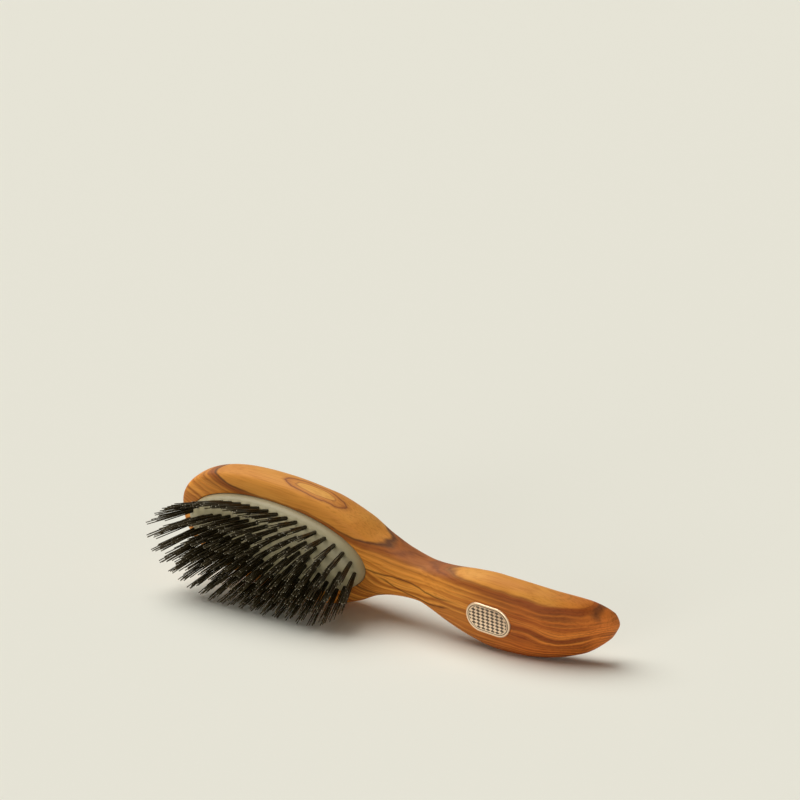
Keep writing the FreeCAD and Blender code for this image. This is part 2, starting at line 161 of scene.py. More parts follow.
def body_ring(x):
    """Points round the body at a place along it."""
    half, front, back, edge, square = body_section(x)
    top, bottom, left, right = (0, front), (0, back), (half, edge), (-half, edge)
    ring = []
    for start, corner, end, share in (
            (top, (half, front), left, square), (left, (half, back), bottom, BACK_SQUARE),
            (bottom, (-half, back), right, BACK_SQUARE), (right, (-half, front), top, square)):
        ends = [Vector((x, *start)), Vector((x, *end))]
        handles = [point.lerp(Vector((x, *corner)), share) for point in ends]
        ring += interpolate_bezier(ends[0], *handles, ends[1], QUARTER_POINTS + 1)[:-1]
    return [point * MM for point in ring]


def opening_ring(out, z, count, share=1.0):
    """Points of a level oval that stands out from the opening's edge, its width times a share."""
    length = OPENING_LENGTH + 2 * out
    width = (OPENING_WIDTH + 2 * out) * share
    turns = [2 * math.pi * k / count for k in range(count)]
    return [Vector((length / 2 * math.cos(t), width / 2 * math.sin(t), z)) * MM for t in turns]


def badge_ring(inset, z):
    """Points of the badge's outline, two straight sides with round ends, drawn in by an inset."""
    straight = (BADGE_LENGTH - BADGE_WIDTH) / 2
    radius = BADGE_WIDTH / 2 - inset
    ring = []
    for k in range(BADGE_POINTS):
        turn = 2 * math.pi * (k + 0.5) / BADGE_POINTS
        side = math.copysign(straight, math.cos(turn))
        ring.append(Vector((BADGE_AT + side + radius * math.cos(turn), radius * math.sin(turn), z)) * MM)
    return ring


def add_object(name, data):
    """Puts data into the scene as an object."""
    made = bpy.data.objects.new(name, data)
    bpy.context.collection.objects.link(made)
    return made


def skin(name, rings):
    """A closed mesh object over rings of points given in the brush's axes."""
    mesh = bpy.data.meshes.new(name)
    count = len(rings[0])
    points = [BRUSH @ point for ring in rings for point in ring]
    faces = []
    for row in range(len(rings) - 1):
        for k in range(count):
            a, b = row * count + k, row * count + (k + 1) % count
            faces.append((a, b, b + count, a + count))
    faces.append(tuple(range(count))[::-1])
    faces.append(tuple(range(len(points) - count, len(points))))
    mesh.from_pydata(points, [], faces)
    tidy = bmesh.new()
    tidy.from_mesh(mesh)
    bmesh.ops.remove_doubles(tidy, verts=tidy.verts, dist=MERGE_WITHIN * MM)
    bmesh.ops.recalc_face_normals(tidy, faces=tidy.faces)
    tidy.to_mesh(mesh)
    tidy.free()
    mesh.polygons.foreach_set("use_smooth", [True] * len(mesh.polygons))
    return add_object(name, mesh)


def carve(piece, cutters):
    """Cuts closed meshes out of a piece and throws them away."""
    for cutter in cutters:
        trim = piece.modifiers.new("carve", "BOOLEAN")
        trim.object = cutter
        trim.solver = "EXACT"
    bpy.context.view_layer.update()
    cut = bpy.data.meshes.new_from_object(piece.evaluated_get(bpy.context.evaluated_depsgraph_get()))
    piece.modifiers.clear()
    piece.data = cut
    for cutter in cutters:
        bpy.data.objects.remove(cutter)


# Rings stand closer where the body rounds off
quarter = math.pi / 2
places = [-HEAD_TOE * math.sin(quarter * k / TOE_RINGS) for k in range(TOE_RINGS, 0, -1)]
places[0] *= FIRST_RING_SHARE
places += [(TIP_AT - TIP_ROUNDING) * k / RUN_RINGS for k in range(RUN_RINGS + 1)]
for k in range(1, TIP_RINGS + 1):
    places.append(TIP_AT - TIP_ROUNDING * (1 - math.sin(quarter * k / TIP_RINGS)))
wood = skin("wood", [body_ring(x) for x in places])
# The chamber's sides go straight up to the lip, which rounds outwards
chamber_profile = [(0.0, -CHAMBER_DEPTH)]
for k in range(LIP_STEPS + 1):
    turn = quarter * k / LIP_STEPS
    chamber_profile.append((LIP_ROUND * (1 - math.cos(turn)), LIP_ROUND * (math.sin(turn) - 1) - LIP_BELOW))
chamber_profile.append((LIP_ROUND, CUT_PAST))
chamber = skin("chamber", [opening_ring(out, z, CHAMBER_POINTS) for out, z in chamber_profile])
pocket_heights = (BADGE_TOP - BADGE_THICKNESS, BADGE_TOP + CUT_PAST)
pocket = skin("pocket", [badge_ring(-BADGE_GAP, z) for z in pocket_heights])
carve(wood, [chamber, pocket])
wood.data.polygons.foreach_set("use_smooth", [True] * len(wood.data.polygons))
wood.data.set_sharp_from_angle(angle=math.radians(WOOD_CREASE))

# Sockets of Blender's Mix node when it mixes colours
MIX_AMOUNT, MIX_FIRST, MIX_SECOND, MIX_RESULT = 0, 6, 7, 2
FULL_TO_NONE = (1.0, 0.0)
# Nearly all of a grain's amounts lie in this range
GRAIN_RANGE = (0.3, 0.7)


def feed(node, inputs):
    """Sets inputs of a node, each to a value or to the socket that feeds it."""
    for key, value in inputs.items():
        socket = node.inputs[key]
        if isinstance(value, bpy.types.NodeSocket):
            node.id_data.links.new(value, socket)
        elif socket.type == "RGBA":
            socket.default_value = (*value, 1)
        else:
            socket.default_value = value


def put(tree, kind, inputs=None, **settings):
    """Adds a shader node with its settings and inputs."""
    node = tree.nodes.new("ShaderNode" + kind)
    for key, value in settings.items():
        setattr(node, key, value)
    feed(node, inputs or {})
    return node


def calc(tree, operation, *values):
    """The result of a sum on numbers or sockets."""
    return put(tree, "Math", dict(enumerate(values)), operation=operation).outputs[0]


def times(tree, product, *values):
    """The product of numbers or sockets."""
    for value in values:
        product = calc(tree, "MULTIPLY", product, value)
    return product


def span(tree, value, given, made=(0.0, 1.0), soft=False):
    """A value carried from one range to another and held at its ends."""
    ends = {"From Min": given[0], "From Max": given[1], "To Min": made[0], "To Max": made[1]}
    kind = "SMOOTHSTEP" if soft else "LINEAR"
    return put(tree, "MapRange", {"Value": value, **ends}, interpolation_type=kind).outputs["Result"]


def peak(tree, value, centre, width):
    """1 where a value is at a centre, falling to 0 at a width on both sides."""
    away = calc(tree, "ABSOLUTE", calc(tree, "SUBTRACT", value, centre))
    return span(tree, away, (0.0, width), FULL_TO_NONE, soft=True)


def oval_distance(tree, first, second, reach=(1.0, 1.0)):
    """Distance from the middle of an oval, 1 on the oval itself."""
    first, second = (calc(tree, "DIVIDE", way, size) for way, size in zip((first, second), reach))
    return calc(tree, "SQRT", calc(tree, "ADD", times(tree, first, first), times(tree, second, second)))


def value_at(tree, along, line):
    """The value at a place along the brush on a smooth line through (place, value) points."""
    first, last = line[0][0], line[-1][0]
    low = min(value for _, value in line)
    high = max(value for _, value in line)
    curve = put(tree, "FloatCurve", {"Value": span(tree, along, (first, last))})
    spots = [((x - first) / (last - first), (y - low) / (high - low)) for x, y in line]
    points = curve.mapping.curves[0].points
    points[0].location, points[-1].location = spots[0], spots[-1]
    for spot in spots[1:-1]:
        points.new(*spot)
    curve.mapping.update()
    return span(tree, curve.outputs["Value"], (0.0, 1.0), (low, high))


def ramp(tree, amount, stops):
    """A colour ramp with stops of (place, colour)."""
    node = put(tree, "ValToRGB", {"Fac": amount})
    while len(node.color_ramp.elements) < len(stops):
        node.color_ramp.elements.new(1.0)
    for element, (place, colour) in zip(node.color_ramp.elements, stops):
        element.position = place
        element.color = (*colour, 1)
    return node.outputs["Color"]


def mix(tree, amount, first, second, blend="MIX"):
    """Two colours mixed."""
    inputs = {MIX_AMOUNT: amount, MIX_FIRST: first, MIX_SECOND: second}
    return put(tree, "Mix", inputs, data_type="RGBA", blend_type=blend).outputs[MIX_RESULT]


def bumps(tree, height, strength, depth):
    """Normals of a surface with bumps of a depth in mm."""
    node = put(tree, "Bump", {"Height": height, "Strength": strength, "Distance": depth * MM})
    return node.outputs["Normal"]


def new_finish(name):
    """A new material, its tree and its shader."""
    material = bpy.data.materials.new(name)
    material.use_nodes = True
    return material, material.node_tree, material.node_tree.nodes["Principled BSDF"]


def brush_place(tree):
    """Where a point of the surface is in the brush's axes, in metres."""
    inputs = {"Location": TO_BRUSH.translation, "Rotation": TO_BRUSH.to_euler()}
    inputs["Vector"] = put(tree, "TexCoord").outputs["Object"]
    return put(tree, "Mapping", inputs).outputs["Vector"]


def in_mm(tree, place):
    """A place along, across and out of the brush, in mm."""
    parts = put(tree, "SeparateXYZ", {"Vector": place}).outputs
    return [times(tree, parts[axis], 1 / MM) for axis in "XYZ"]


def grain_group():
    """A shader group that several finishes share: noise stretched along the brush."""
    group = bpy.data.node_groups.new("stretched_grain", "ShaderNodeTree")
    for name, kind in (("Place", "Vector"), ("Per metre", "Vector"), ("Detail", "Float")):
        group.interface.new_socket(name, in_out="INPUT", socket_type="NodeSocket" + kind)
    group.interface.new_socket("Amount", in_out="OUTPUT", socket_type="NodeSocketFloat")
    given = group.nodes.new("NodeGroupInput").outputs
    scaled = put(group, "VectorMath", {0: given["Place"], 1: given["Per metre"]}, operation="MULTIPLY")
    inputs = {"Vector": scaled.outputs["Vector"], "Scale": 1.0, "Detail": given["Detail"]}
    noise = put(group, "TexNoise", inputs)
    group.links.new(noise.outputs["Fac"], group.nodes.new("NodeGroupOutput").inputs["Amount"])
    return group


STRETCHED_GRAIN = grain_group()


def stretched(tree, place, scale, detail):
    """The grain's amount; scale is features per metre along, across and out of the brush."""
    inputs = {"Place": place, "Per metre": scale, "Detail": detail}
    return put(tree, "Group", inputs, node_tree=STRETCHED_GRAIN).outputs["Amount"]


def swing(tree, place, scale, detail):
    """The grain's amount above or below its middle."""
    return calc(tree, "SUBTRACT", stretched(tree, place, scale, detail), 0.5)


def layer_noise(tree, layer, per_mm, detail):
    """Noise that changes only from one growth layer to the next."""
    inputs = {"W": times(tree, layer, per_mm), "Scale": 1.0, "Detail": detail}
    return put(tree, "TexNoise", inputs, noise_dimensions="1D").outputs["Fac"]


# Growth layers lie flat along the brush and are counted from the edge of the pale sapwood, whose
# line is given as places along and across the brush
SAPWOOD_EDGE = (
    (-54.0, 26.0), (-33.0, 22.6), (-14.0, 19.3), (10.0, 19.2), (27.0, 17.0), (36.0, 14.2), (52.0, 11.9),
    (72.0, 10.6), (90.0, 11.7), (114.0, 13.2), (136.0, 11.3), (146.0, 10.4), (157.0, 9.4),
)
WAVE_GRAIN, WAVE_DETAIL, WAVE_HEIGHT = (26, 50, 50), 1.0, 12.0
RIPPLE_GRAIN, RIPPLE_DETAIL, RIPPLE_HEIGHT = (110, 260, 260), 2.0, 1.3
# The layers are nearly straight at the sapwood and reach their full waves at a depth
WAVES_SET_IN, WAVE_SHARES = (-1.0, -9.0), (0.12, 1.0)
# Where along the grip the wood turns redder
TURNS_REDDER = (98.0, 124.0)


def wood_places(tree):
    """What the wood's colour goes by: places on the brush, ripples, growth layers and redness."""
    at = SimpleNamespace(place=brush_place(tree))
    at.along, at.across, at.out = in_mm(tree, at.place)
    at.ripples = swing(tree, at.place, RIPPLE_GRAIN, RIPPLE_DETAIL)
    layer = calc(tree, "SUBTRACT", at.across, value_at(tree, at.along, SAPWOOD_EDGE))
    waves = swing(tree, at.place, WAVE_GRAIN, WAVE_DETAIL)
    waves = times(tree, waves, span(tree, layer, WAVES_SET_IN, WAVE_SHARES))
    layer = calc(tree, "MULTIPLY_ADD", waves, WAVE_HEIGHT, layer)
    at.layer = calc(tree, "MULTIPLY_ADD", at.ripples, RIPPLE_HEIGHT, layer)
    at.redder = span(tree, at.along, TURNS_REDDER)
    return at


# Heartwood: soft golden and brown bands that drift into brown
HEART_BANDS = ((0.36, (0.37, 0.108, 0.015)), (0.47, (0.63, 0.224, 0.031)), (0.57, (0.83, 0.346, 0.054)))
BANDS_PER_MM, BAND_DETAIL = 0.34, 1.5
DRIFT_GRAIN, DRIFT_DETAIL = (14, 60, 60), 2.0
DRIFT_RANGE, DRIFT_SHARES, DRIFT_COLOUR = (0.48, 0.7), (0.0, 0.5), (0.33, 0.09, 0.012)
# The redder wood of the grip, and the orange end of the handle
REDDER_BANDS, REDDER_TINT = -0.045, (0.86, 0.66, 0.62)
END_STARTS, END_SHARES, END_COLOUR = (147.0, 153.0), (0.0, 0.8), (0.78, 0.225, 0.037)


def heartwood(tree, at):
    """The heartwood's colour without its dark lines."""
    bands = layer_noise(tree, at.layer, BANDS_PER_MM, BAND_DETAIL)
    bands = calc(tree, "MULTIPLY_ADD", at.redder, REDDER_BANDS, bands)
    drift = span(tree, stretched(tree, at.place, DRIFT_GRAIN, DRIFT_DETAIL), DRIFT_RANGE, DRIFT_SHARES)
    heart = mix(tree, drift, ramp(tree, bands, HEART_BANDS), DRIFT_COLOUR)
    heart = mix(tree, at.redder, heart, REDDER_TINT, "MULTIPLY")
    return mix(tree, span(tree, at.along, END_STARTS, END_SHARES), heart, END_COLOUR)


# Thin dark lines between the bands, which come and go
THIN_LINES = ((0.46, (0.0, 0.0, 0.0)), (0.52, (0.8, 0.8, 0.8)), (0.58, (0.0, 0.0, 0.0)))
LINES_PER_MM, LINE_DETAIL, LINE_STRENGTHS = 0.46, 1.0, (0.4, 0.8)
FADE_GRAIN, FADE_DETAIL, FADE_RANGE, FADE_SHARES = (30, 120, 120), 2.0, (0.34, 0.54), (0.1, 1.0)
# Lines that follow the sapwood: depth, strength
INNER_LINES, INNER_LINE_WIDTH = ((-1.2, 0.55), (-2.4, 0.45), (-3.9, 0.5)), 0.45
# Three veins down the front of the neck: places along and across the brush
NECK_VEINS = (
    ((30.0, 1.2), (46.5, 1.0), (55.0, 0.7), (64.8, 1.4), (72.8, 1.1), (81.0, 0.5), (89.0, 1.4), (100.0, 2.4)),
    ((48.0, -0.2), (55.9, -1.4), (61.7, -3.5), (69.2, -5.0), (76.8, -4.8), (86.0, -2.8), (96.0, -0.2)),
    ((34.0, -8.0), (43.1, -8.9), (48.6, -10.2), (53.1, -11.2), (62.0, -12.0)),
)
VEIN_WIDTH, VEIN_STRENGTH, VEIN_RIPPLE, VEIN_TAPER, VEIN_BACK = 0.8, 0.8, 1.5, 3.0, -6.0
LINE_COLOUR = (0.085, 0.022, 0.004)


def dark_lines(tree, at):
    """How strong the heartwood's dark lines are, from 0 to 1."""
    fade = span(tree, stretched(tree, at.place, FADE_GRAIN, FADE_DETAIL), FADE_RANGE, FADE_SHARES)
    thin = ramp(tree, layer_noise(tree, at.layer, LINES_PER_MM, LINE_DETAIL), THIN_LINES)
    lines = times(tree, thin, fade, span(tree, at.redder, (0.0, 1.0), LINE_STRENGTHS))
    for depth, strength in INNER_LINES:
        line = times(tree, peak(tree, at.layer, depth, INNER_LINE_WIDTH), strength, fade)
        lines = calc(tree, "MAXIMUM", lines, line)
    for vein in NECK_VEINS:
        start, end = vein[0][0], vein[-1][0]
        off = calc(tree, "SUBTRACT", at.across, value_at(tree, at.along, vein))
        off = calc(tree, "MULTIPLY_ADD", at.ripples, VEIN_RIPPLE, off)
        taper = times(tree, peak(tree, at.along, (start + end) / 2, (end - start) / 2), VEIN_TAPER)
        taper = calc(tree, "MINIMUM", taper, 1.0)
        in_front = calc(tree, "GREATER_THAN", at.out, VEIN_BACK)
        line = times(tree, peak(tree, off, 0.0, VEIN_WIDTH), taper, in_front, VEIN_STRENGTH)
        lines = calc(tree, "MAXIMUM", lines, line)
    return lines


# Sapwood: pale and plain, with an eye where the rim of the head bulges
SAP_GRAIN, SAP_DETAIL = (24, 90, 90), 3.0
SAP_TONES = ((0.3, (0.6, 0.225, 0.032)), (0.5, (0.68, 0.285, 0.046)), (0.7, (0.74, 0.345, 0.065)))
# The eye's middle along and out of the brush, its reach both ways, and where it fades out
EYE_AT, EYE_REACH, EYE_RIPPLE, EYE_FADE = (17.5, -7.5), (16.0, 4.2), 0.45, (1.15, 1.0)
# Only wood this far across the brush has the eye
EYE_SIDE = 15.0
# Rings from the eye's middle to its rim, at this scale because a ramp ends at 1
EYE_RING_SCALE = 0.8
EYE_RINGS = (
    (0.42, (0.76, 0.37, 0.075)), (0.48, (0.42, 0.145, 0.028)), (0.53, (0.64, 0.26, 0.043)),
    (0.7, (0.5, 0.175, 0.03)), (0.76, (0.2, 0.06, 0.014)), (0.82, (0.5, 0.18, 0.032)),
)


def sapwood(tree, at):
    """The sapwood's colour with its eye."""
    sap = ramp(tree, stretched(tree, at.place, SAP_GRAIN, SAP_DETAIL), SAP_TONES)
    off_along = calc(tree, "SUBTRACT", at.along, EYE_AT[0])
    off_out = calc(tree, "SUBTRACT", at.out, EYE_AT[1])
    away = oval_distance(tree, off_along, off_out, EYE_REACH)
    away = calc(tree, "MULTIPLY_ADD", at.ripples, EYE_RIPPLE, away)
    rings = ramp(tree, times(tree, away, EYE_RING_SCALE), EYE_RINGS)
    on_side = calc(tree, "GREATER_THAN", at.across, EYE_SIDE)
    return mix(tree, times(tree, span(tree, away, EYE_FADE), on_side), sap, rings)


# The step from heartwood to sapwood, and where along the handle the sapwood runs out
SAP_STEP, SAP_RUNS_OUT = (-0.6, 0.8), (128.0, 151.0)
# A streaky brown shade inside the edge: where it sets in, ends and weakens along the handle
SHADE_SETS_IN, SHADE_ENDS = (-5.0, 0.0), (0.0, 0.8)
SHADE_WEAKENS, SHADE_SHARES = (128.0, 142.0), (1.0, 0.1)
STREAKS_PER_MM, STREAK_DETAIL, STREAK_RANGE, STREAK_SHARES = 0.9, 2.0, (0.35, 0.65), (0.15, 0.8)
SHADE_COLOUR = (0.25, 0.068, 0.011)
# How dark the line on the edge is, from place to place along the brush
EDGE_DARKNESS = (
    (-54.0, 0.9), (-22.0, 0.85), (-8.0, 0.4), (18.0, 0.25), (34.0, 0.7), (58.0, 0.9), (74.0, 0.6),
    (86.0, 0.55), (100.0, 0.35), (126.0, 0.2), (138.0, 0.0), (157.0, 0.0),
)
EDGE_WIDTH, EDGE_COLOUR = 0.75, (0.085, 0.027, 0.009)


def joined(tree, at, heart, sap):
    """Heartwood and sapwood with the shade and the line between them."""
    grown = span(tree, at.layer, SAP_STEP, soft=True)
    left = span(tree, at.along, SAP_RUNS_OUT, FULL_TO_NONE, soft=True)
    colour = mix(tree, times(tree, grown, left), heart, sap)
    shade = span(tree, at.layer, SHADE_SETS_IN, soft=True)
    shade = times(tree, shade, span(tree, at.layer, SHADE_ENDS, FULL_TO_NONE))
    shade = times(tree, shade, span(tree, at.along, SHADE_WEAKENS, SHADE_SHARES))
    streaks = layer_noise(tree, at.layer, STREAKS_PER_MM, STREAK_DETAIL)
    shade = times(tree, shade, span(tree, streaks, STREAK_RANGE, STREAK_SHARES))
    colour = mix(tree, shade, colour, SHADE_COLOUR)
    edge = times(tree, peak(tree, at.layer, 0.0, EDGE_WIDTH), value_at(tree, at.along, EDGE_DARKNESS))
    return mix(tree, edge, colour, EDGE_COLOUR)


# The knot near the end of the handle, where a twig grew: its middle along and across the brush
KNOT_AT, KNOT_REACH, KNOT_LEAN, KNOT_RIPPLE = (150.6, 7.4), (1.6, 4.4), 0.45, 1.2
KNOT_STRENGTH, KNOT_COLOUR = 0.8, (0.1, 0.034, 0.013)


def knot(tree, at):
    """How dark the knot is, from 0 to 1."""
    off_along = calc(tree, "SUBTRACT", at.along, KNOT_AT[0])
    off_across = calc(tree, "SUBTRACT", at.across, KNOT_AT[1])
    off_along = calc(tree, "MULTIPLY_ADD", off_across, KNOT_LEAN, off_along)
    away = oval_distance(tree, off_along, off_across, KNOT_REACH)
    away = calc(tree, "MULTIPLY_ADD", at.ripples, KNOT_RIPPLE, away)
    return times(tree, peak(tree, away, 0.0, 1.0), KNOT_STRENGTH)


# Fine fibres along the grain, which the oil leaves a little rough
FIBRE_GRAIN, FIBRE_DETAIL, FIBRE_SHARE = (50, 1500, 1500), 3.0, 0.8
FIBRE_TINTS = ((0.3, (0.8, 0.72, 0.66)), (0.5, (1.0, 1.0, 1.0)), (0.72, (1.06, 1.05, 1.04)))
FIBRE_BUMP, FIBRE_DEPTH = 0.05, 0.3
WOOD_ROUGHNESS, WOOD_SPECULAR = (0.64, 0.54), 0.2


def olive_wood():
    """Oiled olive wood."""
    material, tree, shader = new_finish("olive_wood")
    at = wood_places(tree)
    heart = mix(tree, dark_lines(tree, at), heartwood(tree, at), LINE_COLOUR)
    colour = joined(tree, at, heart, sapwood(tree, at))
    colour = mix(tree, knot(tree, at), colour, KNOT_COLOUR)
    fibres = stretched(tree, at.place, FIBRE_GRAIN, FIBRE_DETAIL)
    colour = mix(tree, FIBRE_SHARE, colour, ramp(tree, fibres, FIBRE_TINTS), "MULTIPLY")
    feed(shader, {
        "Base Color": colour,
        "Roughness": span(tree, fibres, GRAIN_RANGE, WOOD_ROUGHNESS),
        "Specular IOR Level": WOOD_SPECULAR,
        "Normal": bumps(tree, fibres, FIBRE_BUMP, FIBRE_DEPTH),
    })
    return material


wood.data.materials.clear()
wood.data.materials.append(olive_wood())
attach(wood, "brush_body")
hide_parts("wood_body")

# Badge plate
# A stamped plate of rose gold colour with straight sides and round ends, glued into a shallow
# pocket in the grip. It has a raised bright rim and a plain ornament of diamonds, filled dark.
BADGE_CREASE = 40
# Inset and height from the foot of the plate over its rim to its face
BADGE_PROFILE = ((0.0, -BADGE_THICKNESS), (0.0, -0.3), (0.12, -0.08), (0.3, 0.0), (0.55, 0.0), (0.7, -0.12))
DIAMOND_LENGTH, DIAMOND_WIDTH, DIAMONDS_INSET = 2.2, 1.5, 1.5
BORDER_INSET, BORDER_HALF_WIDTH = 1.0, 0.17
ROSE_GOLD, DARK_FILL = (0.86, 0.67, 0.48), (0.09, 0.055, 0.035)
PLATE_TO_FILL_METALLIC, FILL_BUMP, FILL_DEPTH = (1.0, 0.2), 0.4, 0.1
BRUSHED_GRAIN, BRUSHED_DETAIL, BRUSHED_ROUGHNESS = (300, 6000, 3000), 2.0, (0.26, 0.42)
badge = skin("badge", [badge_ring(inset, BADGE_TOP + z) for inset, z in BADGE_PROFILE])
badge.data.set_sharp_from_angle(angle=math.radians(BADGE_CREASE))


def rose_gold():
    """Brushed metal with dark filled diamonds inside a dark border."""
    material, tree, shader = new_finish("rose_gold_engraved")
    place = brush_place(tree)
    along, across, _ = in_mm(tree, place)
    along = calc(tree, "SUBTRACT", along, BADGE_AT)
    # How far inside the plate's outline, in mm
    past = calc(tree, "SUBTRACT", calc(tree, "ABSOLUTE", along), (BADGE_LENGTH - BADGE_WIDTH) / 2)
    past = calc(tree, "MAXIMUM", past, 0.0)
    inset = calc(tree, "SUBTRACT", BADGE_WIDTH / 2, oval_distance(tree, past, across))
    wave_along = calc(tree, "COSINE", times(tree, along, 2 * math.pi / DIAMOND_LENGTH))
    wave_across = calc(tree, "COSINE", times(tree, across, 2 * math.pi / DIAMOND_WIDTH))
    diamonds = calc(tree, "GREATER_THAN", calc(tree, "ADD", wave_along, wave_across), 0.0)
    diamonds = times(tree, diamonds, calc(tree, "GREATER_THAN", inset, DIAMONDS_INSET))
    border = calc(tree, "COMPARE", inset, BORDER_INSET, BORDER_HALF_WIDTH)
    filled = calc(tree, "MAXIMUM", diamonds, border)
    brushed = stretched(tree, place, BRUSHED_GRAIN, BRUSHED_DETAIL)
    feed(shader, {
        "Base Color": mix(tree, filled, ROSE_GOLD, DARK_FILL),
        "Metallic": span(tree, filled, (0.0, 1.0), PLATE_TO_FILL_METALLIC),
        "Roughness": span(tree, brushed, GRAIN_RANGE, BRUSHED_ROUGHNESS),
        "Normal": bumps(tree, calc(tree, "SUBTRACT", 1.0, filled), FILL_BUMP, FILL_DEPTH),
    })
    return material


badge.data.materials.append(rose_gold())
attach(badge, "brush_body")
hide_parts("badge_plate")

# Bristle tufts
# Each tuft is a bundle of stiff dark bristles, folded into a hole in the rubber. The
# bristles are cut to different lengths and spread a little, so cut ends show all along.
random.seed(7)
RINGS = range(1, 5)
BRISTLES_PER_TUFT, INNER_BRISTLES = 9, 2
BRISTLE_RADIUS, BRISTLE_TIP_RADIUS, BRISTLE_BOW = 0.27, 0.21, 0.1
BUNDLE_RADIUS, TIP_SPREAD, INNER_SHARE = 0.66, 1.25, 0.35
# The bound root: its length in the rubber, its reach above it, and its radii
ROOT_REACH, CORE_REACH, CORE_RADII = 2.6, 3.0, (0.8, 0.8, 0.4)
BRISTLE_SIDES, BRISTLE_STEPS = 8, 4
# Shares of the tuft's reach: one bristle in three is long
LONG_SHARES, SHORT_SHARES, LONG_EVERY = (0.93, 1.0), (0.5, 0.95), 3
# How far a bristle may stand off its place round the tuft, as a share of the step to the next
TURN_JITTER = 0.2
# How much further the free tufts lean than those that the table holds: up, and to the heel
LEAN_UP, LEAN_BACK = 0.215, 0.186
SIDE_SLOT, END_SLOT = 0, 1
# Points of a CAD tuft taken for its root end and for its tip; points this near, in metres, are one
ROOT_POINTS, TIP_POINTS, SAME_POINT = 4, 12, 1e-6
BRISTLE_TONES = ((0.35, (0.012, 0.0085, 0.0025)), (0.65, (0.026, 0.0175, 0.005)))
BRISTLE_GRAIN, BRISTLE_SHEEN = (120, 120, 120), (1.0, 0.85, 0.55)
# The cut ends' pale tones are a painted highlight, for light caught on their flat cut faces
CUT_END_HIGHLIGHT_TONES, END_GRAIN = ((0.35, (0.08, 0.07, 0.05)), (0.62, (0.4, 0.36, 0.27))), (900, 900, 900)


def tuft_lines(node):
    """(root end, tip) of each tuft in a CAD node, in metres in the table's axes."""
    mesh = bmesh.new()
    mesh.from_mesh(frame["nodes"][node].data)
    bmesh.ops.remove_doubles(mesh, verts=mesh.verts, dist=SAME_POINT)
    mesh.verts.index_update()
    left = set(mesh.verts)
    lines = []
    while left:
        island, edge = set(), [left.pop()]
        while edge:
            vert = edge.pop()
            island.add(vert)
            near = {side.other_vert(vert) for side in vert.link_edges} & left
            left -= near
            edge += near
        heights = sorted(island, key=lambda vert: (vert.co.dot(WAY_OUT), vert.index))
        root = sum((vert.co for vert in heights[:ROOT_POINTS]), Vector()) / ROOT_POINTS
        tip = sum((vert.co for vert in heights[-TIP_POINTS:]), Vector()) / TIP_POINTS
        lines.append((root, tip))
    mesh.free()
    return sorted(lines, key=lambda line: tuple(line[0]))


def entry(root, tip):
    """Where a tuft leaves the rubber."""
    return root + (tip - root).normalized() * ROOT_REACH * MM


def leaned(surface, tip):
    """The direction of a tuft, in the table's axes, with the lean of its place on the cushion."""
    at = TO_BRUSH @ surface / MM
    way = TO_BRUSH.to_3x3() @ (tip - surface).normalized()
    way.x += LEAN_BACK * max(at.x, 0.0) / (OPENING_LENGTH / 2)
    way.y += LEAN_UP * max(at.y, 0.0) / (OPENING_WIDTH / 2)
    return BRUSH.to_3x3() @ way.normalized()


def add_tube(mesh, path, radii, end_slot):
    """Adds a tube along a path to a mesh; its far end gets a material slot of its own."""
    loops = []
    ahead = (path[-1] - path[0]).normalized()
    side = ahead.orthogonal().normalized()
    other = ahead.cross(side)
    turns = [2 * math.pi * k / BRISTLE_SIDES for k in range(BRISTLE_SIDES)]
    for point, radius in zip(path, radii):
        ways = [side * math.cos(turn) + other * math.sin(turn) for turn in turns]
        loops.append([mesh.verts.new(point + way * radius) for way in ways])
    for lower, upper in zip(loops, loops[1:]):
        for k in range(BRISTLE_SIDES):
            after = (k + 1) % BRISTLE_SIDES
            mesh.faces.new((lower[k], lower[after], upper[after], upper[k])).smooth = True
    mesh.faces.new(loops[0][::-1])
    mesh.faces.new(loops[-1]).material_index = end_slot


def add_tuft(mesh, root, tip):
    """Adds one tuft's bound root and its bristles to a mesh."""
    surface = entry(root, tip)
    ahead = leaned(surface, tip)
    reach = (tip - surface).length
    side = ahead.orthogonal().normalized()
    other = ahead.cross(side)
    core = [root, surface, surface + ahead * CORE_REACH * MM]
    add_tube(mesh, core, [radius * MM for radius in CORE_RADII], SIDE_SLOT)
    for number in range(BRISTLES_PER_TUFT):
        inner = number < INNER_BRISTLES
        count = INNER_BRISTLES if inner else BRISTLES_PER_TUFT - INNER_BRISTLES
        turn = 2 * math.pi * (number + random.uniform(-TURN_JITTER, TURN_JITTER)) / count
        out = (side * math.cos(turn) + other * math.sin(turn)) * (INNER_SHARE if inner else 1.0)
        length = reach * random.uniform(*(SHORT_SHARES if number % LONG_EVERY else LONG_SHARES))
        bow = (side * random.uniform(-1, 1) + other * random.uniform(-1, 1)) * BRISTLE_BOW * MM
        path, radii = [], []
        for step in range(BRISTLE_STEPS):
            share = step / (BRISTLE_STEPS - 1)
            spread = BUNDLE_RADIUS + (TIP_SPREAD - BUNDLE_RADIUS) * share * length / reach
            # The bow is full in the middle and gone at both ends
            point = surface + ahead * length * share + out * spread * MM + bow * 4 * share * (1 - share)
            # What would pass into the table lies on it
            point.z = max(point.z, BRISTLE_TIP_RADIUS * MM)
            path.append(point)
            radii.append((BRISTLE_RADIUS + (BRISTLE_TIP_RADIUS - BRISTLE_RADIUS) * share) * MM)
        add_tube(mesh, path, radii, END_SLOT)


def dark_bristle():
    """The sides of the bristles, nearly black with a warm sheen."""
    material, tree, shader = new_finish("dark_bristle")
    tone = stretched(tree, brush_place(tree), BRISTLE_GRAIN, detail=1.0)
    feed(shader, {
        "Base Color": ramp(tree, tone, BRISTLE_TONES),
        "Roughness": 0.3,
        "Specular IOR Level": 0.25,
        "Specular Tint": BRISTLE_SHEEN,
    })
    return material


